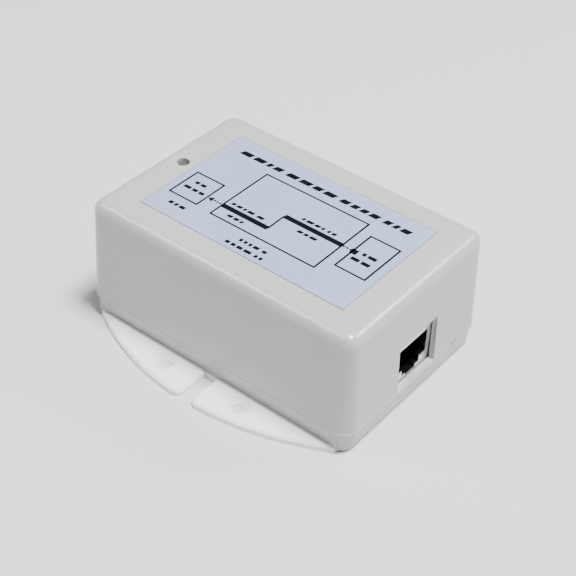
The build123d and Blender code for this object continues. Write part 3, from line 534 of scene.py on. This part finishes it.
def add_bead(mesh, x, y, radius, low, seed):
    """Uneven fillet of adhesive round the foot of a can."""
    pick = random.Random(seed)
    starts = [pick.uniform(0, 2 * pi) for _ in BEAD_SWELLS]
    rings = []
    for step in range(BEAD_STEPS):
        angle = 2 * pi * step / BEAD_STEPS
        swell = 1
        for (share, lobes), start in zip(BEAD_SWELLS, starts):
            swell += share * sin(lobes * angle + start)
        ring = []
        for out, up in BEAD_PROFILE:
            reach = radius + out * BEAD_SIZE * (swell if out > 0 else 1)
            height = low + up * BEAD_SIZE * swell
            ring.append(mesh.verts.new((x + reach * cos(angle), y + reach * sin(angle), height)))
        rings.append(ring)
    for here, there in zip(rings, rings[1:] + rings[:1]):
        for i in range(len(here)):
            j = (i + 1) % len(here)
            mesh.faces.new((here[i], there[i], there[j], here[j]))


def make_cans():
    """Vented tops, pale stripes and beads of adhesive for the capacitors."""
    board_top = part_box("circuit_board")[1].z
    tops, stripes, beads = bmesh.new(), bmesh.new(), bmesh.new()
    seed = 0
    for node in CANS:
        for x, y, radius, top in upright_cans(node):
            seed += 1
            add_vented_top(tops, x, y, radius, top)
            add_stripe(stripes, x, y, radius, STRIPE_MIDDLE, board_top + STRIPE_MARGIN,
                       top - STRIPE_MARGIN)
            add_bead(beads, x, y, radius, board_top, seed)
    new_piece("capacitor_tops", tops, rolled_metal("can_aluminium"), "root")
    new_piece("capacitor_stripes", stripes, mottled("sleeve_stripe"), "root")
    adhesive = new_piece("capacitor_adhesive", beads, mottled("adhesive"), "root")
    for polygon in adhesive.data.polygons:
        polygon.use_smooth = True


def make_board_print():
    """Part outlines printed on the board, and the dots that mark each package's first pin."""
    board_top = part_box("circuit_board")[1].z
    low, high = board_top - PAINT, board_top + PAINT
    outlines = bmesh.new()
    for node in OUTLINED:
        near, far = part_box(node)
        add_frame(outlines, near.x - PRINT_MARGIN, near.y - PRINT_MARGIN, far.x + PRINT_MARGIN,
                  far.y + PRINT_MARGIN, PRINT_LINE, low, high)
    for node in CANS:
        for x, y, radius, _ in upright_cans(node):
            reach = radius + 2 * PRINT_MARGIN
            for half in (0, 180):
                outer = arc(x, y, reach, half, half + 180)
                inner = arc(x, y, reach - PRINT_LINE, half + 180, half)
                add_prism(outlines, outer + inner, low, high)
    white = mottled("board_print")
    new_piece("board_outlines", outlines, white, "root")

    dots = bmesh.new()
    for node in DOTTED:
        near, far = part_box(node)
        inset = min(far.x - near.x, far.y - near.y) / 4
        add_prism(dots, arc(near.x + inset, near.y + inset, PIN_DOT, 0, PIN_DOT_SPAN),
                  far.z - PAINT, far.z + PAINT)
    new_piece("pin_dots", dots, white, "root")


# ---- Stage -----------------------------------------------------------------------------------
def make_floor():
    mesh = bmesh.new()
    add_bar(mesh, -FLOOR_REACH, -FLOOR_REACH, FLOOR_REACH, FLOOR_REACH, -FLOOR_DEPTH, 0.0)
    data = bpy.data.meshes.new("floor")
    mesh.to_mesh(data)
    mesh.free()
    finish = Finish("floor", roughness=0.9)
    finish.colour(finish.noise(FLOOR_BLOTCH), (DARKEST, FLOOR_DARK), (PALEST, FLOOR_LIGHT))
    data.materials.append(finish.material)
    floor = bpy.data.objects.new("floor", data)
    bpy.context.scene.collection.objects.link(floor)


def add_softbox(name, place, size, power, colour):
    """Square light aimed at the middle of the model."""
    light = bpy.data.lights.new(name, "AREA")
    light.shape = "SQUARE"
    light.size = size
    light.energy = power
    light.color = colour
    lamp = bpy.data.objects.new(name, light)
    bpy.context.scene.collection.objects.link(lamp)
    lamp.location = place
    lamp.rotation_euler = (LIGHTS_AIM - Vector(place)).to_track_quat("-Z", "Y").to_euler()


def make_lights():
    world = bpy.data.worlds.new("studio")
    bpy.context.scene.world = world
    world.use_nodes = True
    background = world.node_tree.nodes["Background"]
    background.inputs["Color"].default_value = (*WORLD_COLOUR, 1)
    background.inputs["Strength"].default_value = WORLD_STRENGTH
    for light in LIGHTS:
        add_softbox(*light)


def make_camera():
    a, e, r = (radians(v) for v in (CAMERA_AZIMUTH, CAMERA_ELEVATION, CAMERA_ROLL))
    back = Vector((sin(a) * cos(e), -cos(a) * cos(e), sin(e)))
    level = Vector((cos(a), sin(a), 0))
    right = cos(r) * level + sin(r) * back.cross(level)
    up = back.cross(right)
    turn = Matrix((right, up, back)).transposed().to_4x4()
    data = bpy.data.cameras.new("camera")
    data.lens = CAMERA_LENS
    data.sensor_width = SENSOR_WIDTH
    camera = bpy.data.objects.new("camera", data)
    bpy.context.scene.collection.objects.link(camera)
    camera.matrix_world = Matrix.Translation(CAMERA_PLACE) @ turn
    bpy.context.scene.camera = camera


# ---- Assembly --------------------------------------------------------------------------------
make_camera()
make_lights()
make_floor()
finishes = plain_finishes()
for part in frame["record"]["subparts"]:
    paint(part["node"], finishes[part["material_slot"]])
paint("base_plate", base_plastic())
make_label()
make_cans()
make_board_print()
